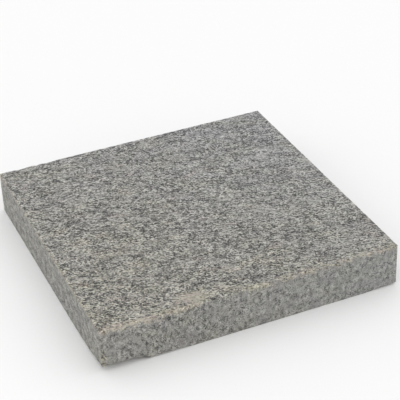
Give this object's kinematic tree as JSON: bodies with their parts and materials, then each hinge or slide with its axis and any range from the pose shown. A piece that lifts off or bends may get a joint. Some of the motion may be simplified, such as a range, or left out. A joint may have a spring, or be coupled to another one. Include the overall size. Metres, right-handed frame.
{
  "type": "stone paving slab",
  "caption": "Square sawn granite slab with a rough-textured top, straight sawn sides and a broken lower corner, lying flat on its bed.",
  "frame": {"origin": "centre of the bed, the flat lower face that the slab lies on", "axes": "+Z from the bed up to the walking face, +X along the front edge, +Y from the front towards the back"},
  "size_m": [0.4, 0.4, 0.06],
  "materials": {
    "granite": "matte"
  },
  "bodies": {
    "root": {"stone_slab": "granite"}
  },
  "joints": []
}
